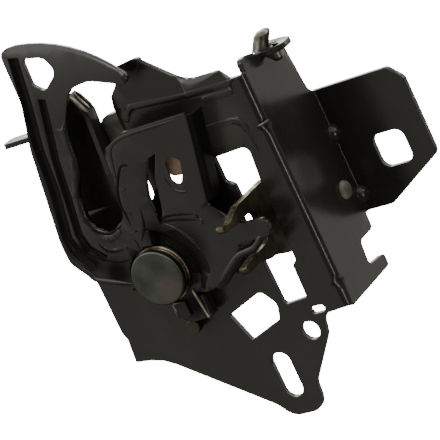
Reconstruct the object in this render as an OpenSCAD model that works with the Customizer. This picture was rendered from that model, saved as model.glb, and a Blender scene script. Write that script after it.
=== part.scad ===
// Bonnet latch: a folded carrier plate with a hooked catch lever, a lift lever and a release lever.
// The origin is the centre of the round locating hole, on the front face of the main plate.
// X points to the bolt flange, Z up to the bonnet, and the front of the latch faces -Y.

/* [Carrier plate] */
// Sheet thickness of the carrier plate
plate_t = 2.5; // [2:0.1:3]
// Outer radius of the carrier's folds
fold_r = 3; // [2.9:0.1:4]
// Distance from the pivot to the outer face of the side wall
wall_x = 70.5; // [69.5:0.1:72]
// Depth from the front face to the back face of the bolt flange
wall_depth = 46; // [44:0.5:50]
// Distance from the side wall to the right edge of the bolt flange
flange_w = 41; // [38:0.5:48]
// Height of the bolt flange's top edge over the pivot
flange_top = 41.5; // [40:0.5:43]
// Side of the square bolt hole
square_hole_w = 15; // [12:0.5:17]
// Corner radius of the square bolt hole
square_hole_r = 4; // [2:0.5:5]
// Distance from the pivot down to the bottom of the lower ear
ear_drop = 78.4; // [77:0.2:88]
// Diameter of the round locating hole
locating_d = 8.4; // [7:0.1:9.5]
// Length of the adjusting slot
slot_len = 21; // [17:0.5:23]
// Width of the adjusting slot
slot_w = 9; // [7:0.1:10]
// Width of the striker slot
striker_slot_w = 10.5; // [10:0.1:11]
// Forward reach of the striker guide
guide_reach = 7; // [5.5:0.1:8]
// Thickness of the sheet in the cable tab
tab_t = 2.4; // [2:0.1:3]
// Diameter of the cable peg
peg_d = 6.2; // [5.6:0.1:6.4]
// Diameter of the cable peg's shank
peg_shank_d = 4.4; // [3.8:0.1:4.6]

/* [Catch lever] */
// Sheet thickness of the catch lever
catch_t = 2.2; // [1.8:0.1:2.5]
// Distance from the carrier's front face to the back of the lever's sheet
catch_gap = 9.8; // [9.6:0.1:10.4]
// Height of the hook's top over the pivot
hook_height = 111; // [108:0.5:122]
// Radius of the hook's top edge
hook_r = 61; // [60:0.5:62]
// Width of the turned rim along the hook's top edge
hook_rim = 1.7; // [1:0.1:2.4]
// Radius of the dish round the pivot
dish_r = 19; // [18:0.5:20]
// Depth of the dish round the pivot
dish_depth = 3.8; // [3.2:0.1:4]
// Depth of the two grooves along the left arm
groove_depth = 1.2; // [0.8:0.1:1.3]
// Reach of the finger tab
finger_len = 13; // [10:0.5:15]
// Depth of the flange along the tongue
tongue_flange = 9.4; // [7:0.1:10]
// Depth of the flange along the arm
arm_flange = 8.4; // [6:0.1:9]
// Depth of the flange along the tail
tail_flange = 6.8; // [5:0.1:7]
// Height of the arm that the release lever holds
arm_h = 8; // [7:0.1:8.4]

/* [Catch pivot] */
// Diameter of the wide rivet head
head_d = 24.4; // [22:0.1:26]
// Thickness of the wide rivet head
head_t = 3; // [2.5:0.1:3.4]
// Diameter of the rivet's shank
shank_d = 11; // [9:0.1:12]
// Thickness of the washer under the head
washer_t = 1.4; // [1:0.1:1.6]
// Thickness of the bush's flange
bush_flange_t = 1.6; // [1.2:0.1:1.9]
// Wall of the bush
bush_wall = 1.8; // [1.5:0.1:2.2]
// Wire diameter of the catch spring
catch_wire = 1.6; // [1.4:0.1:1.7]

/* [Lift lever] */
// Thickness of the lift lever
lift_t = 3.5; // [3:0.1:4.5]
// Gap between the carrier and the lift lever
lift_gap = 0.5; // [0.4:0.1:1]
// Diameter of the lift lever's rivet
lift_shank_d = 8; // [7:0.1:9]
// Radius of the lift lever's finger end
finger_r = 5.8; // [5:0.1:6]

/* [Release lever] */
// Thickness of the release lever
release_t = 3.5; // [3:0.1:3.6]
// Distance from the pivot to the lever's left face
release_x = 46; // [45.8:0.1:46.4]
// Diameter of the release lever's rivet
release_shank_d = 6; // [5:0.1:6.5]
// Clear height over the held arm
arm_over = 1.8; // [1.6:0.1:2.2]
// Clear height under the held arm
arm_under = 5.2; // [4.8:0.1:5.6]

/* [Clearances] */
// Radial clearance of a running fit
run_clear = 0.05; // [0.03:0.01:0.08]
// Gap between faces that slide past each other
slide_gap = 0.3; // [0.2:0.05:0.4]

/* [Hidden] */
$fn = 48;

// Place of the catch pivot from the locating hole
pivot_x = -48;
pivot_z = 43.5;

// Levels along Y
catch_back = -catch_gap;
catch_front = catch_back - catch_t;
dish_front = catch_front + dish_depth;
dish_back = dish_front + catch_t;
bush_front = dish_front - slide_gap - bush_flange_t;
washer_front = bush_front - slide_gap - washer_t;
head_front = washer_front - head_t;
lift_front = plate_t + lift_gap;
lift_back = lift_front + lift_t;
flange_front = wall_depth - plate_t;
flange_right = wall_x + flange_w;

// Places from the catch pivot, as [x, z]
lift_pivot = [26, 52];
lift_tip = [0.4, 62];
stop_place = [-0.4, -27.2];
adjusting_slot = [28, 18.6 - ear_drop];
square_hole = [wall_x + 22.8, 8.6];
view_hole = [21.5, 37];
hook_centre = [-22.6, hook_height - hook_r];
stop_shank_d = 4;
striker_left = -3.5;
striker_bottom = 28;
arm_mid = 8.2;

// Places on the side wall, as [y, z]
release_pivot = [32.8, 0.4];
peg_place = [wall_x + 2.7, 20.4];
tab_top = 70;

// Arc points of one rounded corner: the corner b between a and c, with radius r
function unit(v) = v / norm(v);
function round_corner(a, b, c, r) =
    let (u = unit([a[0] - b[0], a[1] - b[1]]), w = unit([c[0] - b[0], c[1] - b[1]]))
    let (half = acos(max(-1, min(1, u * w))) / 2)
    let (room = 0.49 * min(norm([a[0] - b[0], a[1] - b[1]]), norm([c[0] - b[0], c[1] - b[1]])))
    let (rad = min(r, room * tan(half)))
    let (mid = [b[0], b[1]] + unit(u + w) * rad / sin(half))
    let (start = [b[0], b[1]] + u * rad / tan(half) - mid, stop = [b[0], b[1]] + w * rad / tan(half) - mid)
    let (a0 = atan2(start[1], start[0]), turn = atan2(stop[1], stop[0]) - a0)
    let (sweep = turn > 180 ? turn - 360 : turn < -180 ? turn + 360 : turn)
    let (steps = max(2, ceil(abs(sweep) / 15)))
    [for (i = [0:steps]) mid + rad * [cos(a0 + sweep * i / steps), sin(a0 + sweep * i / steps)]];

// Outline through corners given as [x, z, radius]
function rounded(corners) =
    let (n = len(corners))
    [for (i = [0:n - 1])
        let (b = corners[i])
        each b[2] > 0
            ? round_corner(corners[(i + n - 1) % n], b, corners[(i + 1) % n], b[2])
            : [[b[0], b[1]]]];

// Moves a piece from the catch pivot to its place in the frame
module at_pivot() {
    translate([pivot_x, 0, pivot_z])
        children();
}

// Sheet in the XZ plane, from y0 back by its thickness
module front_sheet(y0, thickness) {
    translate([0, y0 + thickness, 0])
        rotate([90, 0, 0])
            linear_extrude(thickness)
                children();
}

// Sheet in the YZ plane, from x0 to the right by its thickness
module side_sheet(x0, thickness) {
    translate([x0, 0, 0])
        rotate([90, 0, 90])
            linear_extrude(thickness)
                children();
}

// Round bar along Y at [x, z], from y0 to y1
module bar_y(place, d, y0, y1) {
    translate([place[0], y1, place[1]])
        rotate([90, 0, 0])
            cylinder(d = d, h = y1 - y0);
}

// Round bar along X at [y, z], from x0 to x1
module bar_x(place, d, x0, x1) {
    translate([x0, place[0], place[1]])
        rotate([0, 90, 0])
            cylinder(d = d, h = x1 - x0);
}

// Offset of point i of an open line, to its left, by half a width
function run_dir(points, i) = unit(points[min(i + 1, len(points) - 1)] - points[min(i, len(points) - 2)]);
function side_point(points, i, half) =
    let (after = run_dir(points, i), before = run_dir(points, max(i - 1, 0)))
    let (mid = unit([-before[1] - after[1], before[0] + after[0]]))
    points[i] + mid * half / (mid * [-after[1], after[0]]);

// Band of an even width along a line of points, with round ends
module band(points, width, bend) {
    last = len(points) - 1;
    left = [for (i = [0:last]) each [side_point(points, i, width / 2)]];
    right = [for (i = [0:last]) each [side_point(points, last - i, -width / 2)]];
    polygon(rounded([for (i = [0:last]) [left[i][0], left[i][1], i == 0 || i == last ? width / 2 : bend],
        for (i = [0:last]) [right[i][0], right[i][1], i == 0 || i == last ? width / 2 : bend]]));
}

// Rib pressed forward from a front face at level y, with a wider foot
module rib(points, width, y, height) {
    front_sheet(y - height, height + 0.5)
        band(points, width, 4);
    front_sheet(y - height / 2, height / 2 + 0.5)
        band(points, 1.8 * width, 4);
}

// Runs a profile along the line from p to q: its x points to the right of the line, its y to the back
module along_edge(p, q) {
    run = q - p;
    translate([p[0], 0, p[1]])
        rotate([0, atan2(run[0], run[1]), 0])
            linear_extrude(norm(run))
                children();
}

// Channel pressed back into a front face at level y, with sloped sides
module channel(points, width, depth, y) {
    lap = 0.2;
    for (i = [0:len(points) - 2]) {
        way = unit(points[i + 1] - points[i]);
        along_edge(points[i] - lap * way, points[i + 1] + 3 * lap * way)
            polygon([[-width / 2, y - 1], [-width / 2, y], [-0.3 * width, y + 0.7 * depth], [-0.12 * width, y + depth],
                [0.12 * width, y + depth], [0.3 * width, y + 0.7 * depth], [width / 2, y], [width / 2, y - 1]]);
    }
}

// Quarter ring of a fold, centred on the origin, in the quadrant between the two axes
module fold_ring(outer, thickness) {
    difference() {
        intersection() {
            circle(r = outer);
            square(outer);
        }
        circle(r = outer - thickness);
    }
}

// Path of a torsion spring round the Y axis: leg, coil and leg, turning from angle a0 to a1
function coil_point(mean_r, a, y) = [mean_r * cos(a), y, mean_r * sin(a)];
function coil_way(a, way) = way * [-sin(a), 0, cos(a)];
function torsion_path(mean_r, pitch, a0, a1, leg0, leg1) =
    let (way = a1 > a0 ? 1 : -1, steps = ceil(abs(a1 - a0) / 30), rise = pitch * abs(a1 - a0) / 360)
    concat([coil_point(mean_r, a0, 0) - leg0 * coil_way(a0, way)],
        [for (i = [0:steps]) coil_point(mean_r, a0 + (a1 - a0) * i / steps, rise * i / steps)],
        [coil_point(mean_r, a1, rise) + leg1 * coil_way(a1, way)]);

// Round wire along a path that never runs along the given axis
module wire(path, axis, d) {
    sides = 8;
    last = len(path) - 1;
    rings = [for (i = [0:last])
        let (way = unit(path[min(i + 1, last)] - path[max(i - 1, 0)]))
        let (out = unit(cross(way, axis)), up = cross(out, way))
        for (k = [0:sides - 1]) path[i] + d / 2 * (out * cos(360 * k / sides) + up * sin(360 * k / sides))];
    skin = [for (i = [0:last - 1]) for (k = [0:sides - 1])
        [i * sides + k, i * sides + (k + 1) % sides, (i + 1) * sides + (k + 1) % sides, (i + 1) * sides + k]];
    polyhedron(rings, concat(skin, [[for (k = [sides - 1:-1:0]) k], [for (k = [0:sides - 1]) last * sides + k]]));
}

// Outline of the main plate, from the bottom left corner round to the right
main_outline = [
    [-39.6, -38, 0.6], [-26, -39.6, 24], [17, 6.8 - ear_drop, 14], [22.5, -ear_drop, 8], [38.4, -ear_drop, 9],
    [39.6, -66, 6], [54.6, -47, 3], [56.6, -38, 5], [wall_x - fold_r, -37.4, 0],
    [wall_x - fold_r, 67.5, 0], [63.4, 67.5, 1.5], [59.8, 72, 1.2], [43.5, 72.2, 14], [27, 87.4, 4],
    [15.4, 86.4, 0.8], [12.6, 79.4, 3], [8.4, 75.6, 1.6], [7, 71, 4],
    [striker_left + striker_slot_w, 66, 0],
    [striker_left + striker_slot_w, striker_bottom, striker_slot_w / 2.1],
    [striker_left, striker_bottom, striker_slot_w / 2.1],
    [striker_left, 68, 0], [-5.5, 72, 1], [-12, 76, 3], [-27, 76, 4], [-39.6, 30, 12], [-39.6, -24, 2],
    [-38.4, -27, 1]];

// Long window for the release lever, with its small tooth on each side
window_outline = [
    [41, 38.4, 1], [58.4, 39.2, 3], [56.6, 21, 0.6], [56, -12.4, 0.8], [53.6, -14.4, 0.8], [53.2, -29.2, 0.8],
    [41.6, -30, 2], [41, 15.6, 1], [44.6, 18, 1.6], [44.6, 25, 2], [41, 27.4, 1]];

// Window in the lower plate, square at the left and rounded at the right
lower_window = [[14.3, -28.4, 0.8], [33.6, -21.6, 3], [38.6, -28.6, 4], [36.4, -35.6, 2.5], [19.4, -41.4, 1]];

module main_sheet() {
    difference() {
        polygon(rounded(main_outline));
        polygon(rounded(window_outline));
        polygon(rounded(lower_window));
        translate([-pivot_x, -pivot_z])
            circle(d = locating_d);
        translate(adjusting_slot)
            slot_shape(slot_len, slot_w);
        translate(view_hole)
            slot_shape(16, 10);
        translate([55.4, -35.4])
            rotate(90)
                slot_shape(7, 3.4);
        circle(d = shank_d + 2 * run_clear);
        translate(lift_pivot)
            circle(d = lift_shank_d + 2 * run_clear);
        translate(stop_place)
            circle(d = stop_shank_d + 2 * run_clear);
    }
}

// Upright slot with round ends
module slot_shape(length, width) {
    square([width, length - width], center = true);
    for (s = [-1, 1])
        translate([0, s * (length - width) / 2])
            circle(d = width);
}

// Outline of the side wall, as [y, z]
wall_outline = [
    [fold_r, -38.4, 0], [40.4, -38.4, 1.5], [40.4, -33, 1.5], [26.6, -31.6, 2], [28, -21, 2], [40.6, -21, 1.5],
    [41, -14.2, 0], [wall_depth - fold_r, -14.2, 0], [wall_depth - fold_r, flange_top, 0], [40, 44.4, 3],
    [37, tab_top - 4, 2], [28, tab_top - 1.4, 4], [25.4, tab_top - 0.4, 1], [15.6, tab_top - 0.4, 1],
    [13, tab_top + 1.8, 2], [7, tab_top + 3, 3], [fold_r, tab_top + 2.6, 2], [fold_r, 67.5, 0]];

// Outline of the bolt flange, as [x, z]
flange_outline = [
    [wall_x + fold_r - plate_t, -14.2, 0], [83, -14.2, 4], [flange_right, 1.6, 4], [flange_right, 36, 3],
    [105.6, flange_top + 0.4, 3], [wall_x + fold_r - plate_t, flange_top, 0]];

// Fold between the main plate and the wall, seen from above
module front_fold() {
    translate([wall_x - fold_r, fold_r])
        mirror([0, 1])
            fold_ring(fold_r, plate_t);
}

// Fold between the wall and the bolt flange, seen from above
module back_fold() {
    translate([wall_x + fold_r - plate_t, wall_depth - fold_r])
        mirror([1, 0])
            fold_ring(fold_r, plate_t);
}

// Pressed dart that stiffens a fold, as a notch on its outside
module dart(z, size) {
    translate([wall_x - fold_r * 0.3, fold_r * 0.3, z])
        rotate([0, 0, -45])
            rotate([0, 45, 0])
                cube([size, 4 * size, size], center = true);
}

// Round bump pressed into the inside corner of the back fold
module back_bump(z, size) {
    translate([wall_x, flange_front, z])
        intersection() {
            translate([-0.6, 0.6, 0])
                sphere(r = size);
            translate([-1, -2 * size, -size])
                cube(2 * size);
        }
}

// Corner of the horn, bent back along the line from p to q
module horn_wedge(y, front) {
    p = [23.4, 79.6];
    q = [17.4, 83.8];
    reach = 11;
    drop = 1.8;
    along_edge(p, q)
        polygon([[0, y], [front ? 0 : reach, front ? y - 1 : y], [reach, front ? y - 1 : y], [reach, y + drop]]);
}

// Striker guide: the slot's left edge folded forward
module guide_profile() {
    translate([-fold_r, 0])
        square([0.2, plate_t]);
    translate([-fold_r + 0.1, plate_t - fold_r])
        fold_ring(fold_r, plate_t);
    translate([-plate_t + 0.1, -guide_reach])
        square([plate_t, guide_reach + plate_t - fold_r + 0.1]);
}

module striker_guide() {
    guide_bottom = 46;
    guide_top = 67;
    lip = 11;
    translate([striker_left, 0, guide_bottom])
        linear_extrude(guide_top - guide_bottom)
            guide_profile();
    translate([striker_left, 0, guide_top - 0.6])
        rotate([0, -29, 0])
            linear_extrude(lip)
                guide_profile();
}

// Tab folded over the top of the wall, slotted for the cable peg
module cable_tab() {
    translate([0, 0, tab_top - tab_t])
        linear_extrude(tab_t)
            difference() {
                translate([wall_x, 0])
                    polygon(rounded([[-plate_t, 16.6, 0], [3.5, 16.8, 2], [10.1, 21.5, 2], [9.7, 28.5, 2],
                        [5.5, 31.5, 2], [-plate_t, 33, 0]]));
                translate(peg_place)
                    circle(d = peg_shank_d + 0.4);
                translate([wall_x + 0.2, peg_place[1] + 5.2])
                    square([4.3, 1.8]);
            }
}

// Small tab under the catch spring's fixed leg
module spring_rest() {
    translate([-21, -4.4, -5.4])
        cube([5, 4.6, 2.4]);
}

// Main plate of the carrier, up to its fold
module base_plate() {
    color("#2d2d2b")
        at_pivot()
            difference() {
                union() {
                    front_sheet(0, plate_t)
                        main_sheet();
                    striker_guide();
                    intersection() {
                        horn_wedge(plate_t, false);
                        front_sheet(0, 2 * plate_t)
                            polygon(rounded(main_outline));
                    }
                    rib([[10, 63.5], [13.4, 69], [42, 66.6], [64, 66.2]], 1.6, 0, 0.8);
                    rib([[48, 62.6], [63, 62.6]], 1.6, 0, 0.8);
                    rib([[44, 51], [59.6, 51], [61.6, 45]], 1.6, 0, 0.8);
                    spring_rest();
                }
                dart(44.6, 3);
                dart(-26.4, 3);
                horn_wedge(0, true);
            }
}

// Side wall of the carrier with both folds and the cable tab
module side_wall() {
    color("#2b2b29")
        at_pivot()
            difference() {
                union() {
                    translate([0, 0, -37.4])
                        linear_extrude(67.5 + 37.4)
                            front_fold();
                    side_sheet(wall_x - plate_t, plate_t)
                        polygon(rounded(wall_outline));
                    translate([0, 0, -14.2])
                        linear_extrude(flange_top + 14.2)
                            back_fold();
                    cable_tab();
                    back_bump(21.8, 4.2);
                    back_bump(-6.6, 4.2);
                }
                dart(44.6, 3);
                dart(-26.4, 3);
                bar_x(release_pivot, release_shank_d + 2 * run_clear, wall_x - 2 * plate_t, wall_x + plate_t);
            }
}

// Bolt flange of the carrier, from its fold to the right
module bolt_flange() {
    half = square_hole_w / 2;
    color("#2d2d2b")
        at_pivot()
            front_sheet(flange_front, plate_t)
                difference() {
                    polygon(rounded(flange_outline));
                    translate(square_hole)
                        polygon(rounded([for (c = [[-1, -1], [1, -1], [1, 1], [-1, 1]])
                            [c[0] * half, c[1] * half, square_hole_r]]));
                }
}

// Outline of the catch lever, from the hook round to the pivot and the left arm
arm_top = arm_mid + arm_h / 2;
arm_low = arm_mid - arm_h / 2;
tail_left = -1;
tail_right = 9;
tail_low = -24;
catch_outline = [
    [-24.2, hook_height - 0.4, 4],
    for (a = [84:-6:42]) [hook_centre[0] + hook_r * cos(a), hook_centre[1] + hook_r * sin(a), 0],
    [hook_centre[0] + 50.8, hook_centre[1] + 34.4, 2], [25.8, 81.2, 1.6], [10, 87.4, 8], [-1, 86.6, 9],
    [-10.6, 72, 20], [-13, 54, 20], [-19.6, 43, 14], [-20.8, 30, 7], [-13.6, 22.8, 5], [-3.8, 28, 4],
    [0.6, 46, 16], [3, 58.6, 2], [14, 62.8, 4], [45.8, 62.8, 1], [36.4, 24.4, 3], [42, 16.4, 3],
    [48, arm_top, 4], [58, arm_top, 3.6], [60.4, arm_mid - 1, 3], [57.6, arm_low, 2], [42.4, arm_low, 3],
    [22, -11.6, 2], [14, -12, 4], [tail_right + 0.6, -12, 0], [tail_right, tail_low, 0], [2.4, tail_low - 0.4, 2],
    [tail_left, -22, 1.5], [tail_left, -12.6, 1], [-9, -12, 7], [-13, -2, 6], [-31.4, 5.2, 2], [-34, 12.4, 6],
    [-39, 19, 6], [-38.6, 27, 20], [-31.6, 67, 6], [-25.4, 87, 10]];

slit_outline = [[24.4, 50.4, 0], [19.4, 49, 2], [14, 40, 4], [9.6, 33, 4], [8.8, 21.6, 1.5], [12.4, 20.6, 1.5],
    [15.6, 29, 8], [19.2, 41, 8]];

// Window in the hook fin
fin_window = [[-15.4, 104.6, 2], [-5, 102.4, 5], [-2.6, 95, 4], [-11.8, 88.8, 2.5], [-16.2, 92.8, 2.5]];

// Centre lines of the two pressed grooves along the left arm
outer_groove = [[-19, 106], [-23, 85], [-27.4, 66], [-29.6, 47], [-34.2, 27], [-33.6, 20.5], [-28.4, 11.4]];
inner_groove = [[-15, 86], [-18.4, 73], [-22, 60], [-24.6, 44], [-28, 27], [-26.6, 19.6], [-21.2, 13.8]];

// Centre line of the raised rim left of the striker's gap
gap_rim = [[-12.2, 72], [-14, 60], [-16.2, 52], [-21.2, 43.6], [-22.6, 33], [-21, 25], [-15, 20.6], [-8, 23.4]];

module catch_sheet() {
    difference() {
        polygon(rounded(catch_outline));
        polygon(rounded(slit_outline));
        polygon(rounded(fin_window));
        translate([30.6, 41.4])
            slot_shape(11.6, 7.4);
    }
}

// Dish round the pivot: a flat floor, a coned wall on the right and an upright wall close to the bush on the left
dish_to = 100;
rim_r = head_d / 2 + 1.4;
module dish_profile() {
    lip = 2.2;
    polygon([[0, 0], [dish_r - lip, 0], [dish_r + lip, dish_depth], [dish_r + lip + 0.4, dish_depth],
        [dish_r + lip + 0.4, dish_depth - catch_t], [dish_r + lip * 0.6, dish_depth - catch_t],
        [dish_r - lip * 0.4, -catch_t], [0, -catch_t]]);
}

// Sector of the coned wall, round to the given angle
module dish_sector(stop) {
    polygon([[0, 0], for (i = [0:12]) 2 * dish_r * [cos(stop - 260 + 260 * i / 12), sin(stop - 260 + 260 * i / 12)]]);
}

// Upright wall on the left, under the lever's sheet
module dish_wall() {
    front_sheet(catch_front + 1, dish_depth + catch_t - 1.2)
        intersection() {
            difference() {
                circle(r = rim_r + 2);
                circle(r = rim_r + 0.2);
                dish_sector(dish_to - 2);
            }
            catch_sheet();
        }
    translate([0, catch_front + 1, 0])
        rotate([0, -dish_to, 0])
            translate([rim_r - 0.4, 0, -0.6])
                cube([dish_r - rim_r + 3, dish_depth + catch_t - 1.4, catch_t]);
}

// Half plane of the lever under its pivot, where the tail hangs at the level of the dish floor
module tail_zone() {
    translate([-40, -60])
        square([80, 47.4]);
}

module dish() {
    intersection() {
        translate([0, dish_front, 0])
            rotate([90, 0, 0])
                rotate_extrude()
                    dish_profile();
        front_sheet(catch_front - 1, dish_depth + catch_t + 2)
            difference() {
                intersection() {
                    catch_sheet();
                    union() {
                        dish_sector(dish_to);
                        circle(r = rim_r + 0.6);
                    }
                }
                tail_zone();
            }
    }
    dish_wall();
    front_sheet(dish_front, catch_t)
        intersection() {
            catch_sheet();
            tail_zone();
        }
}

// Turned rim along the hook's top edge, as what is cut off its front
module hook_rim_cut() {
    drop = 1.2;
    translate([hook_centre[0], catch_front, hook_centre[1]])
        rotate([90, 0, 0])
            rotate([0, 0, 30])
                rotate_extrude(angle = 58)
                    polygon([[hook_r - hook_rim, 0], [hook_r + 1, -drop], [hook_r + 1, 1], [hook_r - hook_rim, 1]]);
}

// Flange folded back from an edge of the lever's sheet at level y, along the line from p to q
module catch_flange(p, q, y, reach) {
    bend = 2.8;
    along_edge(p, q) {
        translate([0, y + bend])
            mirror([0, 1])
                fold_ring(bend, catch_t);
        translate([bend - catch_t, y + bend - 0.1])
            square([catch_t, reach - bend]);
    }
}

module finger_tab() {
    tab_depth = 8;
    translate([0, 0, 70.6])
        linear_extrude(catch_t)
            polygon(rounded([[-30, catch_front, 0], [-30, catch_front + tab_depth, 0],
                [-30 - finger_len, catch_front + tab_depth, 3], [-31 - finger_len, catch_front, 2]]));
}

module catch_lever() {
    outer_w = 5.2;
    inner_w = 3.8;
    skin = 1.2;
    color("#262625")
        at_pivot()
            difference() {
                union() {
                    front_sheet(catch_front, catch_t)
                        difference() {
                            catch_sheet();
                            circle(r = rim_r);
                            intersection() {
                                circle(r = dish_r + 2);
                                dish_sector(dish_to);
                            }
                            tail_zone();
                        }
                    dish();
                    front_sheet(catch_back - 0.5, groove_depth + 0.5) {
                        band(outer_groove, outer_w + skin, 8);
                        band(inner_groove, inner_w + skin, 8);
                    }
                    catch_flange([36.6, 25.6], [45.4, 61.8], catch_front, tongue_flange);
                    catch_flange([23, -10.8], [41.6, 3.6], catch_front, arm_flange);
                    catch_flange([tail_right, tail_low], [tail_right + 0.5, -14], dish_front, tail_flange);
                    finger_tab();
                    rib([[13.6, 24.4], [30, 20.8]], 1.6, catch_front, 0.7);
                    rib([[16, 20.4], [31.4, 17.4]], 1.6, catch_front, 0.7);
                    rib([[6.6, 48.6], [2.4, 40], [0.2, 29]], 1.2, catch_front, 0.5);
                    rib([[-19.6, 16.8], [-14.5, 15.8], [-8.6, 15.8]], 1, catch_front, 0.5);
                    front_sheet(catch_front - 0.5, 1)
                        band(gap_rim, 2.2, 6);
                }
                channel(outer_groove, outer_w, groove_depth, catch_front);
                channel(inner_groove, inner_w, groove_depth - 0.2, catch_front);
                hook_rim_cut();
                bar_y([0, 0], shank_d + 2 * bush_wall, catch_front - 1, dish_back + 1);
            }
}

module catch_rivet() {
    tail_d = shank_d + 5;
    color("#4a4d47")
        at_pivot() {
            difference() {
                bar_y([0, 0], head_d, head_front, washer_front);
                translate([0, head_front, 0])
                    rotate([-90, 0, 0])
                        rotate_extrude()
                            polygon([[head_d / 2 - 1, -0.1], [head_d / 2 + 1, -0.1], [head_d / 2 + 1, 1]]);
            }
            bar_y([0, 0], shank_d, washer_front, plate_t + 0.2);
            bar_y([0, 0], tail_d, plate_t, plate_t + 2);
        }
}

module catch_washer() {
    color("#8a7d68")
        at_pivot()
            difference() {
                bar_y([0, 0], head_d - 0.8, washer_front, washer_front + washer_t);
                bar_y([0, 0], shank_d + 0.4, washer_front - 1, bush_front);
            }
}

module catch_bush() {
    color("#6b5a48")
        at_pivot()
            difference() {
                union() {
                    bar_y([0, 0], head_d + 1, bush_front, bush_front + bush_flange_t);
                    bar_y([0, 0], shank_d + 2 * bush_wall, bush_front, dish_back + 0.4);
                }
                bar_y([0, 0], shank_d + 2 * run_clear, bush_front - 1, dish_back + 2);
            }
}

module catch_spring() {
    mean_r = 9.6;
    pitch = catch_wire + 0.15;
    y0 = dish_back + 0.35 + catch_wire / 2;
    color("#1d1d1c")
        at_pivot()
            translate([0, y0, 0])
                wire(torsion_path(mean_r, pitch, -75, -840, 32, 15), [0, 1, 0], catch_wire);
}

// Folded clip on the left edge of the lever's tail
module stop_buffer() {
    clip_t = 1.2;
    left = tail_left - slide_gap - clip_t;
    color("#20201f")
        at_pivot()
            translate([0, 0, -21])
                linear_extrude(7)
                    difference() {
                        translate([left, dish_front - clip_t])
                            square([5 + clip_t, catch_t + 2 * clip_t]);
                        translate([left + clip_t, dish_front])
                            square([6, catch_t]);
                    }
}

module stop_pin() {
    color("#8d8a7c")
        at_pivot() {
            bar_y(stop_place, 6.4, -6.4, -2.4);
            bar_y(stop_place, 5, -2.6, 0);
            bar_y(stop_place, stop_shank_d, -0.2, plate_t + 0.2);
            bar_y(stop_place, 5.8, plate_t, plate_t + 1.2);
        }
}

// Outline of the lift lever: the finger under the striker, the hub and the lobe below it
lift_outline = [
    [lift_tip[0] - finger_r, lift_tip[1] - finger_r, finger_r], [lift_tip[0] - finger_r, lift_tip[1] + finger_r, finger_r],
    [9, 68, 3], [18, 64, 8], [33, 64, 8], [39, 56, 8], [38, 42, 8], [31, 34.6, 5], [16.6, 34.6, 6], [9, 46, 8]];

module lift_lever() {
    color("#6e6a50")
        at_pivot()
            difference() {
                front_sheet(lift_front, lift_t)
                    polygon(rounded(lift_outline));
                bar_y(lift_pivot, lift_shank_d + 3, lift_front - 1, lift_back + 1);
            }
}

module lift_bush() {
    color("#7a5c44")
        at_pivot()
            difference() {
                bar_y(lift_pivot, lift_shank_d + 3, lift_front, lift_back);
                bar_y(lift_pivot, lift_shank_d + 2 * run_clear, lift_front - 1, lift_back + 1);
            }
}

washer_back = lift_back + slide_gap + 1.5;
module lift_washer() {
    color("#8d8a7c")
        at_pivot()
            difference() {
                bar_y(lift_pivot, lift_shank_d + 10, lift_back + slide_gap, washer_back);
                bar_y(lift_pivot, lift_shank_d + 0.2, lift_back, washer_back + 1);
            }
}

lift_wire = 1.6;
module lift_spring() {
    mean_r = 6.6;
    pitch = lift_wire + 0.15;
    color("#1d1d1c")
        at_pivot()
            translate([lift_pivot[0], washer_back + 0.2 + lift_wire / 2, lift_pivot[1]])
                wire(torsion_path(mean_r, pitch, 180, 720, 14, 16), [0, 1, 0], lift_wire);
}

module lift_rivet() {
    spring_room = 4.6;
    back = washer_back + spring_room;
    color("#7a7466")
        at_pivot() {
            bar_y(lift_pivot, lift_shank_d + 5, -1.8, 0);
            bar_y(lift_pivot, lift_shank_d, -0.2, back + 0.2);
            bar_y(lift_pivot, lift_shank_d + 8, back, back + 1.8);
        }
}

// Outline of the release lever, as [y, z]: two jaws in front, the slot between them, the hub and the cable arm
jaw_top = arm_top + arm_over;
jaw_low = arm_low - arm_under;
release_outline = [
    [40, 34, 3.5], [31, 36, 3.5], [26, 15, 4], [15, 20, 6], [-11.6, 20, 2], [-16.6, 18.6, 3], [-21.8, 16.8, 3],
    [-28, 18.4, 1.6], [-28, 15, 1.4], [-18, jaw_top, 4], [-1, jaw_top, 4], [-1, jaw_low, 4], [-15, jaw_low, 3],
    [-25.4, -1.6, 1.2], [-24.6, -5.2, 1.6], [-14, -5, 4], [-5, -7.6, 4], [0, -8, 4], [13, -13, 6],
    [release_pivot[0] + 8.6, release_pivot[1] - 9, 8.4], [release_pivot[0] + 8.6, release_pivot[1] + 10, 8]];

module release_lever() {
    color("#6e6a50")
        at_pivot()
            difference() {
                side_sheet(release_x, release_t)
                    polygon(rounded(release_outline));
                bar_x(release_pivot, release_shank_d + 2 * run_clear, release_x - 1, release_x + release_t + 1);
                bar_x([34.4, 30.4], 4, release_x - 1, release_x + release_t + 1);
            }
}

module release_rivet() {
    head_r = 4.2;
    dome_h = 1.8;
    inner = release_x - slide_gap;
    color("#55564f")
        at_pivot() {
            translate([wall_x, release_pivot[0], release_pivot[1]])
                rotate([0, 90, 0])
                    cylinder(r1 = head_r, r2 = head_r - 0.8, h = dome_h);
            bar_x(release_pivot, release_shank_d, inner - 0.2, wall_x + 0.2);
            bar_x(release_pivot, release_shank_d + 4, inner - 1.8, inner);
        }
}

module release_sleeve() {
    color("#8d8a7c")
        at_pivot()
            difference() {
                bar_x(release_pivot, release_shank_d + 3, release_x + release_t + slide_gap, wall_x - plate_t);
                bar_x(release_pivot, release_shank_d + 0.1, release_x, wall_x);
            }
}

module release_spring() {
    spring_d = 1.4;
    mean_r = (release_shank_d + 3) / 2 + spring_d / 2 + 0.3;
    color("#1d1d1c")
        at_pivot()
            translate([release_x + release_t + 2, release_pivot[0], release_pivot[1]])
                rotate([0, 0, -90])
                    wire(torsion_path(mean_r, spring_d + 0.2, -90, 1170, 14, 14), [0, 1, 0], spring_d);
}

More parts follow.
